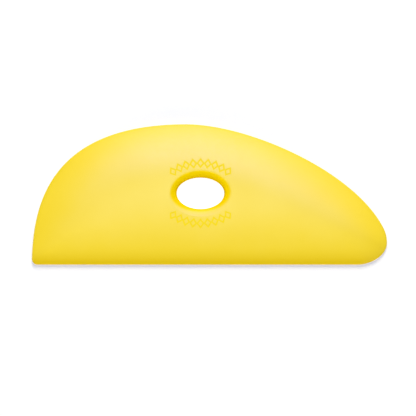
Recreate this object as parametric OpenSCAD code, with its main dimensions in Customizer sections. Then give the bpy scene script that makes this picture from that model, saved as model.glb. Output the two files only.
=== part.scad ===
// Pottery rib: one moulded blade of polyurethane with a straight edge, a curved back, a heel, a nose
// and an oval finger hole. It lies on its flat back with its domed face up.
// X runs along the straight edge towards the nose, Y towards the curved back, Z up through the face.
// The origin is under the middle of the rib's length and width, on the flat back.

/* [Outline] */
// Length from the heel to the nose
rib_length = 127; // [100:0.5:160]
// Width from the straight edge to the crest of the back
rib_width = 50.2; // [42:0.1:62]
// Distance of the crest from the heel
crest_x = 55.1; // [44:0.1:66]
// Radius of the corner between the heel and the straight edge
heel_r = 2; // [1:0.1:6]
// Radius of the nose above its tip
nose_r = 11.5; // [7:0.1:14]
// Height of the nose's tip above the straight edge
nose_y = 7.9; // [6:0.1:12]
// Length of the run-out from the straight edge up to the nose
run_out = 10.4; // [8:0.1:16]

/* [Section] */
// Thickness of the rib at its crown
crown_t = 9; // [6:0.1:12]
// Thickness of the rib at its outer edge
edge_t = 1.5; // [1.2:0.1:3]
// Radius of the outer edge on the domed face
edge_r = 0.6; // [0.3:0.05:0.8]
// Radius of the outer edge on the flat back
back_r = 0.4; // [0.1:0.05:0.5]

/* [Finger hole] */
// Length of the hole, along the rib
hole_l = 17; // [12:0.1:24]
// Width of the hole, across the rib
hole_w = 11.2; // [9:0.1:16]
// Distance of the hole's centre from the heel
hole_x = 60.3; // [48:0.1:72]
// Distance of the hole's centre from the straight edge
hole_y = 25.5; // [20:0.1:32]
// Width of the rounded rim, seen from the front
rim_w = 2.8; // [1:0.1:4]
// Depth of the rounded rim
rim_d = 3; // [2.5:0.1:4.5]
// Angle at which the rim leaves the face
rim_lean = 14; // [0:1:25]
// Radius of the hole's edge on the flat back
hole_back_r = 0.6; // [0.1:0.05:1]

/* [Hidden] */

// How far each end of a curve swells towards the corner of the curve's two end tangents, as a share
heel_swell = 0.33;
back_swell = 0.97;
brow_swell = 0.43;
nose_swell = 0.555;
tip_swell = 0.62;
run_out_swell = 0.41;
rim_swell = 0.6;
// How far the heel leans from upright, and how far the nose's round turns above its tip
heel_lean = 2.25;
nose_turn = 27.5;

// Points in each stretch of the outline, and rings in each stretch of the section
heel_steps = 5;
back_steps = 26;
brow_steps = 28;
nose_steps = 4;
run_out_steps = 10;
straight_steps = 29;
edge_steps = 3;
face_steps = 18;
rim_steps = 6;
// How much closer together the rings of the face lie near the edge
ring_crowding = 1.35;
// Width of the band along the outer edge where the rings keep square to the outline
edge_band = 1;

function mix(a, b, t) = a * (1 - t) + b * t;

function bezier(a, b, c, d, t) =
    pow(1 - t, 3) * a + 3 * pow(1 - t, 2) * t * b + 3 * (1 - t) * t * t * c + t * t * t * d;

// A curve from a to d that leaves and arrives along the lines to the corner that its end tangents make
function swelling_curve(a, corner, d, swell_a, swell_d, steps) =
    [for (i = [0 : steps - 1])
        bezier(a, mix(a, corner, swell_a), mix(d, corner, swell_d), d, i / steps)];

// An arc from angle a1 to a2, without its last point
function arc(centre, r, a1, a2, steps) =
    [for (i = [0 : steps - 1])
        let (a = mix(a1, a2, i / steps)) centre + r * [cos(a), sin(a)]];

// The outline, clockwise from the end of the straight edge at the heel
heel_foot = [heel_r, 0];
heel_side = [0, heel_r];
crest = [crest_x, rib_width];
nose_centre = [rib_length - nose_r, nose_y];
nose_tip = [rib_length, nose_y];
brow_end = nose_centre + nose_r * [cos(nose_turn), sin(nose_turn)];
straight_end = [rib_length - run_out, 0];
heel_corner = [(rib_width - heel_r) * tan(heel_lean), rib_width];
brow_corner = [brow_end.x - (rib_width - brow_end.y) * tan(nose_turn), rib_width];
run_out_corner = [rib_length, 0];

outline = concat(
    arc([heel_r, heel_r], heel_r, 270, 180, heel_steps),
    swelling_curve(heel_side, heel_corner, crest, heel_swell, back_swell, back_steps),
    swelling_curve(crest, brow_corner, brow_end, brow_swell, nose_swell, brow_steps),
    arc(nose_centre, nose_r, nose_turn, 0, nose_steps),
    swelling_curve(nose_tip, run_out_corner, straight_end, tip_swell, run_out_swell, run_out_steps),
    [for (i = [0 : straight_steps - 1]) mix(straight_end, heel_foot, i / straight_steps)]
);
columns = len(outline);

function unit(v) = v / norm(v);
function sum(list, i = 0, total = 0) = i == len(list) ? total : sum(list, i + 1, total + list[i]);

// The directions along each side of the outline and inwards from each of its points
sides = [for (i = [0 : columns - 1]) outline[(i + 1) % columns] - outline[i]];
along = [for (s = sides) unit(s)];
inwards = [for (i = [0 : columns - 1])
    let (t = unit(along[i] + along[(i + columns - 1) % columns])) [t.y, -t.x]];

// Smooth distance of a point from the outline. Beside a long straight edge it is the true distance. Where
// edges face each other or meet in a corner it passes smoothly from one to the other. It comes from the
// sum, along the outline, of one over the fifth power of the distance, which has a closed form for a side.
function pull_to(x, d) =
    x * (3 * d * d + 2 * x * x) / (3 * pow(d, 4) * pow(x * x + d * d, 1.5));
function side_pull(p, i) =
    let (v = p - outline[i], x = v * along[i], d = abs(cross(v, along[i])))
    pull_to(norm(sides[i]) - x, d) + pull_to(x, d);
function depth(p) = pow(4 / 3 / sum([for (i = [0 : columns - 1]) side_pull(p, i)]), 0.25);

// A point on the hole's oval, widened by w, on the ray from the hole's centre to p
hole_centre = [hole_x, hole_y];
function on_hole(p, w) =
    let (v = p - hole_centre, a = hole_l / 2 + w, b = hole_w / 2 + w)
    hole_centre + v / norm([v.x / a, v.y / b]);

// Rings of the domed face, from the inside of the edge band to the rim of the hole
face = [for (j = [0 : face_steps])
    let (t = pow(j / face_steps, ring_crowding))
    [for (i = [0 : columns - 1])
        let (p = outline[i] + edge_band * inwards[i]) mix(p, on_hole(outline[i], rim_w), t)]];
face_depth = [for (ring = face) [for (p = ring) depth(p)]];
deepest = max([for (ring = face_depth) max(ring)]);

// Height of the dome over the flat back at a smooth distance from the outline: a parabola up to the crown
function dome(d) = crown_t - (crown_t - edge_t) * pow(1 - min(d / deepest, 1), 2);

// Where the dome meets the rounding of the outer edge
dome_angle = atan(2 * (crown_t - edge_t) / deepest);
edge_centre_z = dome(edge_r * (1 - sin(dome_angle))) - edge_r * cos(dome_angle);

// The rim's section, from the face down into the hole: distance out from the hole, and drop below the face
rim_corner = [0, rim_w * tan(rim_lean)];
rim_foot = [0, rim_d];
rim_section = concat(
    swelling_curve([rim_w, 0], rim_corner, rim_foot, rim_swell, rim_swell, rim_steps),
    [rim_foot]
);

function lift(ring, z) = [for (p = ring) [p.x, p.y, z]];
function inset(d) = [for (i = [0 : columns - 1]) outline[i] + d * inwards[i]];

// The rings of the whole skin: up the outer edge, over the face, down the hole and back under
back_edge = [for (j = [0 : edge_steps - 1])
    let (a = mix(-90, 0, j / edge_steps)) lift(inset(back_r * (1 - cos(a))), back_r * (1 + sin(a)))];
front_edge = [for (j = [0 : edge_steps])
    let (a = mix(0, 90 - dome_angle, j / edge_steps))
    lift(inset(edge_r * (1 - cos(a))), edge_centre_z + edge_r * sin(a))];
domed_face = [for (j = [0 : face_steps])
    [for (i = [0 : columns - 1]) [face[j][i].x, face[j][i].y, dome(face_depth[j][i])]]];
rim = [for (j = [1 : rim_steps])
    let (out = rim_section[j].x, drop = rim_section[j].y)
    [for (i = [0 : columns - 1])
        let (p = on_hole(outline[i], out)) [p.x, p.y, dome(face_depth[face_steps][i]) - drop]]];
hole_foot = [for (j = [0 : edge_steps])
    let (a = mix(0, 90, j / edge_steps))
    [for (p = outline)
        let (q = on_hole(p, hole_back_r * (1 - cos(a)))) [q.x, q.y, hole_back_r * (1 - sin(a))]]];
skin = concat(back_edge, front_edge, domed_face, rim, hole_foot);

// A closed skin over rings that all have the same number of points, the last ring joined to the first
module ring_skin(rings) {
    n = len(rings[0]);
    m = len(rings);
    points = [for (ring = rings) each ring];
    faces = [for (j = [0 : m - 1]) for (i = [0 : n - 1])
        let (k = (j + 1) % m, l = (i + 1) % n)
        each [[j * n + i, j * n + l, k * n + l], [j * n + i, k * n + l, k * n + i]]];
    polyhedron(points, faces);
}

module rib() {
    color("gold")
        translate([-rib_length / 2, -rib_width / 2, 0])
            ring_skin(skin);
}

rib();
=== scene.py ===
"""A potter's rib of soft yellow polyurethane, flat back down on a white table, seen from straight above."""

import math
from functools import partial

import bmesh
import bpy
import numpy as np
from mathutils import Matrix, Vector


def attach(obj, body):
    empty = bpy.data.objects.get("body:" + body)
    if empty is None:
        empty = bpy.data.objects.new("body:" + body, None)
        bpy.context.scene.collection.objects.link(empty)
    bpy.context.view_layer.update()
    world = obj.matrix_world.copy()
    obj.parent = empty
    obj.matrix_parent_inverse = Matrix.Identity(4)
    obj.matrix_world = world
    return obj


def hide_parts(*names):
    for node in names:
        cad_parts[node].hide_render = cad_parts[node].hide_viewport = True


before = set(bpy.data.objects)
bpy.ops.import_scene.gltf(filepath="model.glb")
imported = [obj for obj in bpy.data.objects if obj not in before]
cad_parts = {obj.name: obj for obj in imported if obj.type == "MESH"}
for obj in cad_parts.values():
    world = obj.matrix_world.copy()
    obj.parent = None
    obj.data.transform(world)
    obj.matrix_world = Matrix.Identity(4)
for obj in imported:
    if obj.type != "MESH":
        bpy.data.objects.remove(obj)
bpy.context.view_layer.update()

MM = 0.001
INCH = 25.4 * MM

# Outline of the blade, in metres, from the heel on the left and the straight edge at the bottom
RIB_LENGTH = 5 * INCH
RIB_WIDTH = 50.2 * MM
CREST_X = 55.1 * MM
HEEL_R = 2 * MM
NOSE_R = 11.5 * MM
NOSE_Y = 7.9 * MM
RUN_OUT = 10.4 * MM
HEEL_LEAN = math.radians(2.25)
NOSE_TURN = math.radians(27.5)
# How far each end of a curve swells towards the corner of the curve's two end tangents
HEEL_SWELL, BACK_SWELL = 0.33, 0.97
BROW_SWELL, NOSE_SWELL = 0.43, 0.555
TIP_SWELL, RUN_OUT_SWELL = 0.62, 0.41

# Section of the blade: its thickness at the crown and at the outer edge, the radii of that edge on the face
# and on the flat back, and the band along it where the rings keep square to the outline
CROWN_T, EDGE_T = 9 * MM, 1.5 * MM
EDGE_R, BACK_R = 0.6 * MM, 0.4 * MM
EDGE_BAND = 1 * MM

# Finger hole, its rounded rim, the angle at which that leaves the face, and the radius of the back edge
HOLE_L, HOLE_W = 17 * MM, 11.2 * MM
HOLE_CENTRE = np.array([60.3, 25.5]) * MM
RIM_W, RIM_D = 2.8 * MM, 3 * MM
RIM_LEAN = math.radians(14)
RIM_SWELL = 0.6
HOLE_BACK_R = 0.6 * MM

# The blade lies with the middle of its box on the frame's origin
TO_FRAME = np.array([-RIB_LENGTH / 2, -RIB_WIDTH / 2])

# Columns along each stretch of the outline, and rings along each stretch of the section
HEEL_STEPS, BACK_STEPS, BROW_STEPS = 10, 84, 88
NOSE_STEPS, RUN_OUT_STEPS, STRAIGHT_STEPS = 12, 24, 102
EDGE_STEPS, FACE_STEPS, RIM_STEPS, UNDER_STEPS = 6, 58, 16, 14
# How much closer together the rings of the face lie near the outer edge
RING_CROWDING = 1.35

# The rim clears over a stretch of its width, which is 0 at the face and 1 at the hole, to a clear yellow that
# is
# partly the rubber's and partly painted shade. Where the stretch lies round the hole is painted light and
# shade:
# later and paler on the straight side, which faces the key light, and sooner on the curved back's side, which
# faces away. At the rim's ends, on the heel's side and the nose's, the stretch starts and ends here
CLEAR_START, CLEAR_END = -0.08, 0.36
# Towards the straight edge it starts later. It ends sooner towards the curved back and as much later towards
# the straight edge, where a further delay grows by a gain and is full before the middle of that side
START_LATER, END_SWING, END_LATER, END_GAIN = 0.4, 0.16, 0.45, 1.2
# On the straight side a first tint comes sooner: how clear it is, and where it is full
FIRST_TINT, FIRST_TINT_END = 0.4, 0.25
# Past the stretch it grows deeper in painted shade: by how much, and over what share of the rest
DEEPER_BY, DEEPER_OVER = 0.75, 0.5
# How far the rim's two sides are turned from the blade's, and the direction in which its painted shade is
# deepest, towards the curved back, where the rim faces away from the key light
RIM_TURN, SHADIEST_SIDE = math.radians(4), math.radians(75)

# The rubber's yellows: thin near the edges and milky where it is thick, with the power of that change
THIN_YELLOW, MILKY_YELLOW = (0.930, 0.693, 0.025, 1), (0.99, 0.788, 0.132, 1)
MILKY_POWER = 1.6
# Painted shade along the outer edge, where it rounds over: its yellow, and how far in from the edge it fades
EDGE_SHADE_YELLOW = (0.89, 0.672, 0.015, 1)
EDGE_SHADE_REACH = 1.2 * MM
# The clear rim, its painted shade where it is deepest, and the grooves
RIM_YELLOW = (0.9, 0.645, 0.0, 1)
RIM_SHADE_YELLOW = (0.81, 0.57, 0.0, 1)
# The grooves' yellow is painted shade, standing in for the sheen their sloped sides lose
GROOVE_SHADE_YELLOW = (0.93, 0.70, 0.0, 1)
# Painted shade along the straight working edge, whose slope faces away from the key light: its yellow, the
# distances from the edge at which it begins and is full, and its power
STRAIGHT_SHADE_YELLOW = (0.778, 0.547, 0.0, 1)
STRAIGHT_SHADE_FROM, STRAIGHT_SHADE_TO = 7.5 * MM, 0.8 * MM
STRAIGHT_SHADE_POWER = 2.2
# Clouds from the pour: how strong, how many fit in a metre, how detailed, and where the blade lies in them
CLOUDINESS, CLOUDS_A_METRE, CLOUD_DETAIL = 0.2, 70, 3
CLOUD_PLACE = (0.433, -0.02, -0.461)

# Grain from the mould: how many fit in a metre, how detailed, how high, and what counts as low and as high
GRAINS_A_METRE, GRAIN_DETAIL, GRAIN_H = 900, 4, 0.015 * MM
GRAIN_LOW, GRAIN_HIGH = 0.2, 0.8
# Roughness from the low to the high grain, and what the clear rim and the grooves add to it
SATIN_LOW, SATIN_HIGH = 0.38, 0.47
RIM_DULLNESS, GROOVE_DULLNESS = 0.3, 0.5
# How strongly the face and the rim shine, and the colour of that gloss
FACE_GLOSS, RIM_GLOSS = 0.55, 0.05
GLOSS_TINT = (0.1, 0.3, 1, 1)
RUBBER_IOR = 1.5

# Two arcs of small lozenges for grip, over and under the finger hole, drawn by grooves with a flat floor
LOZENGES = 9
LOZENGE_PITCH, LOZENGE_W, LOZENGE_L = 2.6 * MM, 2.2 * MM, 2.8 * MM
GROOVE_W, GROOVE_FLOOR, GROOVE_D = 0.88 * MM, 0.2 * MM, 0.03 * MM
# The radius of each arc, and how far its middle lies from the hole's centre
ARC_R, ARC_OUT = 17.5 * MM, 10.75 * MM

# The table: how far it reaches from its middle, in metres, and its colour
TABLE_REACH = 4
TABLE_WHITE = (0.77, 0.705, 0.53, 1)
# How far it is lifted towards white where it is seen: with some blue, which takes the blade's yellow out of
# its shadow, and fully in a patch under the finger hole, painted light that hides the blade's shadow there
TABLE_LIFT, FULL_LIFT = (0.27, 0.34, 0.535, 1), (1, 1, 1, 1)
# The patch's radii as a share of the hole's length and width, and the share of them over which it fades
PATCH_REACH, PATCH_FADE = 0.62, 0.1
# Height of the hidden white sheet under the table top
UNDERLAY_Z = -80 * MM

# How bright the room is, how far the lamps are, and how high the camera is, in metres
ROOM_LEVEL = 0.1
LAMP_DISTANCE = 1.2
CAMERA_Z = 0.6


def mix(a, b, t):
    return a * (1 - t) + b * t


def curve(a, corner, d, swell_a, swell_d, steps):
    """A curve from a to d along the two tangents that meet at the corner, without its last point."""
    a, corner, d = np.array(a), np.array(corner), np.array(d)
    b, c = mix(a, corner, swell_a), mix(d, corner, swell_d)
    t = (np.arange(steps) / steps)[:, None]
    return (1 - t) ** 3 * a + 3 * (1 - t) ** 2 * t * b + 3 * (1 - t) * t**2 * c + t**3 * d


def arc(centre, radius, start, end, steps):
    """An arc from one angle to another, without its last point."""
    angle = mix(start, end, np.arange(steps) / steps)
    return np.array(centre) + radius * np.c_[np.cos(angle), np.sin(angle)]


def blade_outline():
    """The outline, clockwise from the end of the straight edge at the heel."""
    heel_side = (0, HEEL_R)
    heel_corner = ((RIB_WIDTH - HEEL_R) * math.tan(HEEL_LEAN), RIB_WIDTH)
    crest = (CREST_X, RIB_WIDTH)
    nose_centre = (RIB_LENGTH - NOSE_R, NOSE_Y)
    brow_end = (nose_centre[0] + NOSE_R * math.cos(NOSE_TURN), NOSE_Y + NOSE_R * math.sin(NOSE_TURN))
    brow_corner = (brow_end[0] - (RIB_WIDTH - brow_end[1]) * math.tan(NOSE_TURN), RIB_WIDTH)
    nose_tip = (RIB_LENGTH, NOSE_Y)
    straight_end = np.array([RIB_LENGTH - RUN_OUT, 0])
    heel_foot = np.array([HEEL_R, 0])
    along = (np.arange(STRAIGHT_STEPS) / STRAIGHT_STEPS)[:, None]
    return np.vstack([
        arc((HEEL_R, HEEL_R), HEEL_R, 1.5 * math.pi, math.pi, HEEL_STEPS),
        curve(heel_side, heel_corner, crest, HEEL_SWELL, BACK_SWELL, BACK_STEPS),
        curve(crest, brow_corner, brow_end, BROW_SWELL, NOSE_SWELL, BROW_STEPS),
        arc(nose_centre, NOSE_R, NOSE_TURN, 0, NOSE_STEPS),
        curve(nose_tip, (RIB_LENGTH, 0), straight_end, TIP_SWELL, RUN_OUT_SWELL, RUN_OUT_STEPS),
        mix(straight_end, heel_foot, along),
    ])


OUTLINE = blade_outline()
COLUMNS = len(OUTLINE)
SIDES = np.roll(OUTLINE, -1, 0) - OUTLINE
SIDE_LENGTHS = np.linalg.norm(SIDES, axis=1)
ALONG = SIDES / SIDE_LENGTHS[:, None]
TANGENTS = ALONG + np.roll(ALONG, 1, 0)
TANGENTS /= np.linalg.norm(TANGENTS, axis=1)[:, None]
INWARDS = np.c_[TANGENTS[:, 1], -TANGENTS[:, 0]]


def inset(distance):
    return OUTLINE + distance * INWARDS


def on_hole(widened):
    """The hole's oval, widened, one point a column, on the ray from its centre to the outline."""
    ray = OUTLINE - HOLE_CENTRE
    half = np.array([HOLE_L / 2 + widened, HOLE_W / 2 + widened])
    return HOLE_CENTRE + ray / np.linalg.norm(ray / half, axis=1)[:, None]


def pull(x, d):
    """The sum, along a length x of line, of one over the fifth power of the distance from a point.

    The length starts at the foot of the point on the line, and the point is d from the line.
    """
    return x * (3 * d**2 + 2 * x**2) / (3 * d**4 * (x**2 + d**2) ** 1.5)


def depth(points):
    """Smooth distance of points from the outline, from the pull of all its sides.

    Beside a long straight edge it is the true distance, and between edges it passes smoothly to the other.
    """
    v = points[:, None, :] - OUTLINE[None]
    x = (v * ALONG).sum(-1)
    d = np.abs(v[..., 0] * ALONG[:, 1] - v[..., 1] * ALONG[:, 0])
    return (4 / 3 / (pull(SIDE_LENGTHS - x, d) + pull(x, d)).sum(1)) ** 0.25


def face_rings():
    """Rings of the domed face from the edge band to the rim of the hole, and the depth of each point."""
    first, last = inset(EDGE_BAND), on_hole(RIM_W)
    rings = [mix(first, last, (j / FACE_STEPS) ** RING_CROWDING) for j in range(FACE_STEPS + 1)]
    return rings, [depth(ring) for ring in rings]


FACE, FACE_DEPTH = face_rings()
DEEPEST = max(d.max() for d in FACE_DEPTH)
DOME_ANGLE = math.atan(2 * (CROWN_T - EDGE_T) / DEEPEST)


def dome(d):
    """Height of the dome over the flat back: a parabola from the edge up to the crown."""
    return CROWN_T - (CROWN_T - EDGE_T) * (1 - np.minimum(d / DEEPEST, 1)) ** 2


def at_height(ring, z, milkiness, clear_and_shade=0):
    """One ring of the skin: where its points lie, how milky the rubber is there, and how clear, which in the
    rim also carries its painted light and shade.
    """
    z, milkiness, clear_and_shade = (np.broadcast_to(values, len(ring)) for values in (z, milkiness, clear_and_shade))
    return np.c_[ring + TO_FRAME, z, milkiness, clear_and_shade]


def rim_clear_and_shade(share):
    """How clear the rim is at a share of its width: 0 is milky, 1 is clear, and past 1 it is deep, in painted
    shade.

    Its turn round the hole is painted light and shade: it clears later and stays paler on the side that faces
    the key light, and clears sooner and is deepest on the side that faces away.
    """
    ray = OUTLINE - HOLE_CENTRE
    angle = np.arctan2(ray[:, 1], ray[:, 0])
    back_side = np.sin(angle - RIM_TURN)
    straight_side = np.maximum(-back_side, 0)
    start = CLEAR_START + START_LATER * straight_side
    end = CLEAR_END - END_SWING * back_side + END_LATER * np.minimum(END_GAIN * straight_side, 1)
    t = np.clip((share - start) / (end - start), 0, 1)
    tint = FIRST_TINT * straight_side * min(share / FIRST_TINT_END, 1)
    clear = np.maximum(t * t * (3 - 2 * t), tint)
    shadiest = np.maximum(np.cos(angle - SHADIEST_SIDE), 0) ** 2
    return clear + DEEPER_BY * shadiest * np.clip((share - end) / (DEEPER_OVER * (1 - end)), 0, 1)


def section_rings():
    """Every ring of the skin: up the outer edge, over the face, down the hole, and back under."""
    edge_z = dome(EDGE_R * (1 - math.sin(DOME_ANGLE))) - EDGE_R * math.cos(DOME_ANGLE)
    for a in np.linspace(-math.pi / 2, 0, EDGE_STEPS):
        yield at_height(inset(BACK_R * (1 - math.cos(a))), BACK_R * (1 + math.sin(a)), 0)
    for a in np.linspace(0, math.pi / 2 - DOME_ANGLE, EDGE_STEPS):
        yield at_height(inset(EDGE_R * (1 - math.cos(a))), edge_z + EDGE_R * math.sin(a), 0)
    for ring, d in zip(FACE, FACE_DEPTH):
        yield at_height(ring, dome(d), d / DEEPEST)
    rim_z, rim_milkiness = dome(FACE_DEPTH[-1]), FACE_DEPTH[-1] / DEEPEST
    rim_corner = (0, RIM_W * math.tan(RIM_LEAN))
    rim = curve((RIM_W, 0), rim_corner, (0, RIM_D), RIM_SWELL, RIM_SWELL, RIM_STEPS)
    for out, drop in [*rim[1:], (0, RIM_D)]:
        yield at_height(on_hole(out), rim_z - drop, rim_milkiness, rim_clear_and_shade(1 - out / RIM_W))
    for a in np.linspace(0, math.pi / 2, EDGE_STEPS):
        foot = on_hole(HOLE_BACK_R * (1 - math.cos(a)))
        yield at_height(foot, HOLE_BACK_R * (1 - math.sin(a)), rim_milkiness, 1 - math.sin(a))
    for share in np.linspace(0, 1, UNDER_STEPS)[1:-1]:
        under = mix(on_hole(HOLE_BACK_R), inset(BACK_R), share)
        yield at_height(under, 0, depth(under) / DEEPEST)


def moulded_blade():
    """The blade's skin, drawn out ring after ring from a loop at the foot of the outer edge."""
    bm = bmesh.new()
    column = bm.verts.layers.int.new("column")
    milkiness = bm.verts.layers.float.new("milkiness")
    clear_and_shade = bm.verts.layers.float.new("clear_and_shade")
    loop = bmesh.ops.create_circle(bm, segments=COLUMNS, radius=RIB_WIDTH)["verts"]
    for i, v in enumerate(loop):
        v[column] = i

    def settle(points, ring):
        for v in points:
            *v.co, v[milkiness], v[clear_and_shade] = ring[v[column]]

    rings = section_rings()
    settle(loop, next(rings))
    start = edges = list(bm.edges)
    for ring in rings:
        drawn = bmesh.ops.extrude_edge_only(bm, edges=edges)["geom"]
        settle([v for v in drawn if isinstance(v, bmesh.types.BMVert)], ring)
        edges = [e for e in drawn if isinstance(e, bmesh.types.BMEdge) and len(e.link_faces) == 1]
    bmesh.ops.bridge_loops(bm, edges=start + edges)
    bmesh.ops.recalc_face_normals(bm, faces=bm.faces)

    # The rim's rubber is where the corners are more than half clear, and the face's everywhere else
    for face in bm.faces:
        face.material_index = int(sum(v[clear_and_shade] for v in face.verts) > 0.5 * len(face.verts))
    face_rubber = yellow_polyurethane("face_rubber", FACE_GLOSS)
    rim_rubber = yellow_polyurethane("rim_rubber", RIM_GLOSS)
    return finished(bm, "rib_blade", face_rubber, rim_rubber)


def finished(bm, name, *materials):
    """The mesh as a smooth piece in the scene."""
    mesh = bpy.data.meshes.new(name)
    for material in materials:
        mesh.materials.append(material)
    bm.to_mesh(mesh)
    bm.free()
    mesh.shade_smooth()
    piece = bpy.data.objects.new(name, mesh)
    bpy.context.scene.collection.objects.link(piece)
    return piece


def node(tree, kind, **settings):
    made = tree.nodes.new(kind)
    for key, value in settings.items():
        setattr(made, key, value)
    return made


def join(tree, *chain):
    """Links each output to the input that follows it."""
    for source, target in zip(chain[::2], chain[1::2]):
        tree.links.new(source, target)


def math_node(tree, operation, *values):
    """A Math node, with a number set on its socket or an output linked to it."""
    made = node(tree, "ShaderNodeMath", operation=operation)
    for socket, value in zip(made.inputs, values):
        if isinstance(value, (int, float)):
            socket.default_value = value
        else:
            join(tree, value, socket)
    return made.outputs[0]


def ramp(tree, value, start, end, low=0.0, high=1.0, smooth=False):
    """Low where the value is at or before start, high at or past end."""
    made = node(tree, "ShaderNodeMapRange", interpolation_type="SMOOTHSTEP" if smooth else "LINEAR")
    for socket, number in zip(("From Min", "From Max", "To Min", "To Max"), (start, end, low, high)):
        made.inputs[socket].default_value = number
    join(tree, value, made.inputs["Value"])
    return made.outputs[0]


def noise(tree, place, scale, detail):
    """Noise around 0.5, with so many lumps in a metre, and finer ones on them."""
    made = node(tree, "ShaderNodeTexNoise")
    made.inputs["Scale"].default_value = scale
    made.inputs["Detail"].default_value = detail
    join(tree, place, made.inputs["Vector"])
    return made.outputs["Fac"]


def blended(tree, factor, low, high):
    """The low colour where the factor is 0, the high one at 1, each of them fixed or an output."""
    made = node(tree, "ShaderNodeMix", data_type="RGBA")
    join(tree, factor, made.inputs["Factor"])
    for socket, colour in (("A", low), ("B", high)):
        if isinstance(colour, tuple):
            made.inputs[socket].default_value = colour
        else:
            join(tree, colour, made.inputs[socket])
    return made.outputs["Result"]


def lozenge_grooves(tree, axes):
    """Two arcs of small lozenges over and under the finger hole: 1 on the floor of a groove, 0 beside it."""
    calc = partial(math_node, tree)
    centre_x, centre_y = HOLE_CENTRE + TO_FRAME
    across = calc("SUBTRACT", axes.outputs["X"], float(centre_x))
    beyond = calc("ABSOLUTE", calc("SUBTRACT", axes.outputs["Y"], float(centre_y)))
    up = calc("ADD", beyond, ARC_R - ARC_OUT)
    angle = calc("ARCTAN2", across, up)
    radius = calc("SQRT", calc("ADD", calc("MULTIPLY", across, across), calc("MULTIPLY", up, up)))

    # Distances from the middle of the nearest lozenge, along the arc and out from it, over its half sizes
    cell = calc("MULTIPLY", angle, ARC_R / LOZENGE_PITCH)
    off_cell = calc("SUBTRACT", cell, calc("ROUND", cell))
    along = calc("MULTIPLY", off_cell, LOZENGE_PITCH / (LOZENGE_W / 2))
    out = calc("DIVIDE", calc("SUBTRACT", radius, ARC_R), LOZENGE_L / 2)

    # The two add up to 1 on the sides of the lozenge, where the groove is
    reach = calc("ADD", calc("ABSOLUTE", along), calc("ABSOLUTE", out))
    off_side = calc("ABSOLUTE", calc("SUBTRACT", reach, 1))
    middle_to_side = LOZENGE_W * LOZENGE_L / 2 / math.hypot(LOZENGE_W, LOZENGE_L)
    brink, floor = GROOVE_W / 2 / middle_to_side, GROOVE_FLOOR / 2 / middle_to_side
    groove = ramp(tree, off_side, brink, floor, smooth=True)
    inside = calc("LESS_THAN", calc("ABSOLUTE", cell), LOZENGES / 2)
    return calc("MULTIPLY", groove, inside)


def cast_skin():
    """Node group with the cast rubber's colour, with its painted shade, and its roughness and relief, which
    the face and the rim share.
    """
    tree = bpy.data.node_groups.new("cast_skin", "ShaderNodeTree")
    for name, kind in (("Colour", "Color"), ("Roughness", "Float"), ("Normal", "Vector")):
        tree.interface.new_socket(name, in_out="OUTPUT", socket_type="NodeSocket" + kind)
    calc = partial(math_node, tree)
    out = node(tree, "NodeGroupOutput")
    place = node(tree, "ShaderNodeTexCoord").outputs["Object"]
    axes = node(tree, "ShaderNodeSeparateXYZ")
    join(tree, place, axes.inputs[0])
    milkiness = node(tree, "ShaderNodeAttribute", attribute_name="milkiness").outputs["Fac"]
    clear_and_shade = node(tree, "ShaderNodeAttribute", attribute_name="clear_and_shade").outputs["Fac"]
    grain = noise(tree, place, GRAINS_A_METRE, GRAIN_DETAIL)
    grooves = lozenge_grooves(tree, axes)

    # Milky where the rubber is thick, with clouds from the pour, and clear where it is thin. The deeper
    # yellows at the outer edge, in the grooves and deep in the rim are painted shade
    poured = node(tree, "ShaderNodeMapping")
    poured.inputs["Location"].default_value = CLOUD_PLACE
    join(tree, place, poured.inputs["Vector"])
    pour = noise(tree, poured.outputs[0], CLOUDS_A_METRE, CLOUD_DETAIL)
    clouds = ramp(tree, pour, 0, 1, -CLOUDINESS, CLOUDINESS)
    clouded = calc("MAXIMUM", calc("ADD", milkiness, clouds), 0)
    milky = blended(tree, calc("POWER", clouded, MILKY_POWER), THIN_YELLOW, MILKY_YELLOW)
    # Painted shade: a deeper yellow along the rounded outer edge
    edge_shaded = blended(tree, ramp(tree, milkiness, EDGE_SHADE_REACH / DEEPEST, 0), milky, EDGE_SHADE_YELLOW)
    # Painted shade: the grooves take a deeper yellow
    groove_shaded = blended(tree, grooves, edge_shaded, GROOVE_SHADE_YELLOW)
    # The rim's clear yellow, and past 1 its painted shade, deepest on the side that faces away from the key
    # light
    clear = blended(tree, clear_and_shade, groove_shaded, RIM_YELLOW)
    deep = blended(tree, calc("SUBTRACT", clear_and_shade, 1), clear, RIM_SHADE_YELLOW)

    # Painted shade: darker towards the straight working edge, whose slope faces away from the key light
    near = ramp(tree, axes.outputs["Y"], STRAIGHT_SHADE_FROM - RIB_WIDTH / 2, STRAIGHT_SHADE_TO - RIB_WIDTH / 2)
    straight_shaded = blended(tree, calc("POWER", near, STRAIGHT_SHADE_POWER), deep, STRAIGHT_SHADE_YELLOW)
    join(tree, straight_shaded, out.inputs["Colour"])

    # A satin skin with a fine, uneven grain from the mould, duller in the rim and dull in the grooves
    satin = ramp(tree, grain, GRAIN_LOW, GRAIN_HIGH, SATIN_LOW, SATIN_HIGH)
    rim_satin = calc("MULTIPLY_ADD", clear_and_shade, RIM_DULLNESS, satin)
    groove_satin = calc("MULTIPLY_ADD", grooves, GROOVE_DULLNESS, rim_satin)
    join(tree, groove_satin, out.inputs["Roughness"])

    # The relief's heights are in millimetres
    height = calc("MULTIPLY_ADD", grooves, -GROOVE_D / MM, calc("MULTIPLY", grain, GRAIN_H / MM))
    relief = node(tree, "ShaderNodeBump")
    relief.inputs["Distance"].default_value = MM
    join(tree, height, relief.inputs["Height"], relief.outputs[0], out.inputs["Normal"])
    return tree


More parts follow.
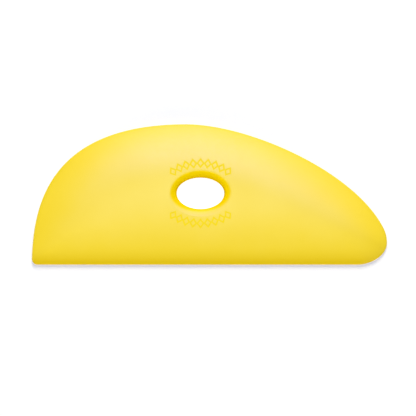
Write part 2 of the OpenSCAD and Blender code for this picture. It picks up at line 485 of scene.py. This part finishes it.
def yellow_polyurethane(name, gloss):
    """Soft cast polyurethane: milky where it is thick, clear and deeper yellow where it is thin."""
    material = bpy.data.materials.new(name)
    material.use_nodes = True
    tree = material.node_tree
    skin = tree.nodes["Principled BSDF"]
    cast = node(tree, "ShaderNodeGroup", node_tree=bpy.data.node_groups.get("cast_skin") or cast_skin())
    join(tree, cast.outputs["Colour"], skin.inputs["Base Color"], cast.outputs["Roughness"],
         skin.inputs["Roughness"], cast.outputs["Normal"], skin.inputs["Normal"])
    skin.inputs["IOR"].default_value = RUBBER_IOR
    skin.inputs["Specular IOR Level"].default_value = gloss
    skin.inputs["Specular Tint"].default_value = GLOSS_TINT
    return material


def bare_material(name):
    """A material with no shader yet, its tree and its surface."""
    material = bpy.data.materials.new(name)
    material.use_nodes = True
    tree = material.node_tree
    tree.nodes.clear()
    return material, tree, node(tree, "ShaderNodeOutputMaterial").inputs["Surface"]


def white_table():
    """A white table top, lifted to white where it is seen, so that only the blade's shadow shows on it."""
    material, tree, surface = bare_material("white_table")
    plain = node(tree, "ShaderNodeBsdfDiffuse")
    plain.inputs["Color"].default_value = TABLE_WHITE
    lift = node(tree, "ShaderNodeEmission")
    both = node(tree, "ShaderNodeAddShader")
    ray = node(tree, "ShaderNodeLightPath").outputs
    mirrored = math_node(tree, "MAXIMUM", ray["Is Glossy Ray"], ray["Is Transmission Ray"])
    seen = math_node(tree, "MAXIMUM", ray["Is Camera Ray"], mirrored)

    # Painted light: the patch of table inside the finger hole is seen as white as the rest, which hides the
    # blade's shadow there
    place = node(tree, "ShaderNodeTexCoord")
    over_hole = node(tree, "ShaderNodeMapping", vector_type="TEXTURE")
    over_hole.inputs["Location"].default_value = (*(HOLE_CENTRE + TO_FRAME), 0)
    over_hole.inputs["Scale"].default_value = (HOLE_L * PATCH_REACH, HOLE_W * PATCH_REACH, 1)
    patch = node(tree, "ShaderNodeTexGradient", gradient_type="SPHERICAL")
    join(tree, place.outputs["Object"], over_hole.inputs[0], over_hole.outputs[0], patch.inputs[0])
    white = blended(tree, ramp(tree, patch.outputs["Fac"], 0, PATCH_FADE), TABLE_LIFT, FULL_LIFT)
    join(tree, white, lift.inputs["Color"], seen, lift.inputs["Strength"],
         plain.outputs[0], both.inputs[0], lift.outputs[0], both.inputs[1], both.outputs[0], surface)
    return material


def white_underlay():
    """A lit white sheet, wholly hidden under the table top, that low views from the side look down on."""
    material, tree, surface = bare_material("white_underlay")
    join(tree, node(tree, "ShaderNodeEmission").outputs[0], surface)
    return material


def table():
    sheets = (("table_top", white_table(), 0), ("table_underlay", white_underlay(), UNDERLAY_Z))
    for name, material, height in sheets:
        bm = bmesh.new()
        bmesh.ops.create_grid(bm, x_segments=1, y_segments=1, size=TABLE_REACH)
        bmesh.ops.translate(bm, verts=bm.verts, vec=(0, 0, height))
        finished(bm, name, material)


def overhead_camera():
    """Straight above the table, looking down parallel, with the photograph's frame of 416 by 416 pixels."""
    pixels = 416
    heel_px, nose_px, straight_px = 31.84, 387.02, 264.67
    per_pixel = RIB_LENGTH / (nose_px - heel_px)
    middle = pixels / 2
    data = bpy.data.cameras.new("overhead")
    data.type = "ORTHO"
    data.ortho_scale = pixels * per_pixel
    camera = bpy.data.objects.new("overhead", data)
    camera.location = (
        TO_FRAME[0] + (middle - heel_px) * per_pixel,
        TO_FRAME[1] + (straight_px - middle) * per_pixel,
        CAMERA_Z,
    )
    data.clip_start, data.clip_end = 0.01, 10
    bpy.context.scene.collection.objects.link(camera)
    bpy.context.scene.camera = camera


def softbox(name, size, tilt, turn, level):
    """A rectangular area light that faces the blade, tilted from overhead to +Y and turned to +X, in degrees.

    The level is how bright its face is, where 1 is a white wall in a room that is lit at level 1.
    """
    tilt, turn = math.radians(tilt), math.radians(turn)
    data = bpy.data.lights.new(name, "AREA")
    data.shape = "RECTANGLE"
    data.size, data.size_y = size
    data.energy = math.pi * level * size[0] * size[1]
    light = bpy.data.objects.new(name, data)
    towards = Vector((math.sin(tilt) * math.sin(turn), math.sin(tilt) * math.cos(turn), math.cos(tilt)))
    light.location = towards * LAMP_DISTANCE
    light.rotation_euler = towards.to_track_quat("Z", "Y").to_euler()
    light.visible_camera = False
    bpy.context.scene.collection.objects.link(light)
    return light


def studio_light():
    """One large softbox beyond the curved back, and two low cards in front that are kept out of the gloss."""
    softbox("key_softbox", size=(0.64, 0.91), tilt=45.5, turn=4.4, level=9.45)
    for name, turn, level in (("right_card", 144, 7.8), ("left_card", 216, 11.8)):
        card = softbox(name, size=(0.9, 0.3), tilt=78.7, turn=turn, level=level)
        card.visible_glossy = False
    bpy.context.scene.view_settings.view_transform = "Standard"


def pale_room():
    """A dim, even room round the table."""
    world = bpy.data.worlds.new("pale_room")
    world.use_nodes = True
    around = world.node_tree.nodes["Background"]
    around.inputs["Color"].default_value = (1, 1, 1, 1)
    around.inputs["Strength"].default_value = ROOM_LEVEL
    bpy.context.scene.world = world


overhead_camera()
studio_light()
pale_room()
table()

blade = moulded_blade()
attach(blade, "root")
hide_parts("rib")
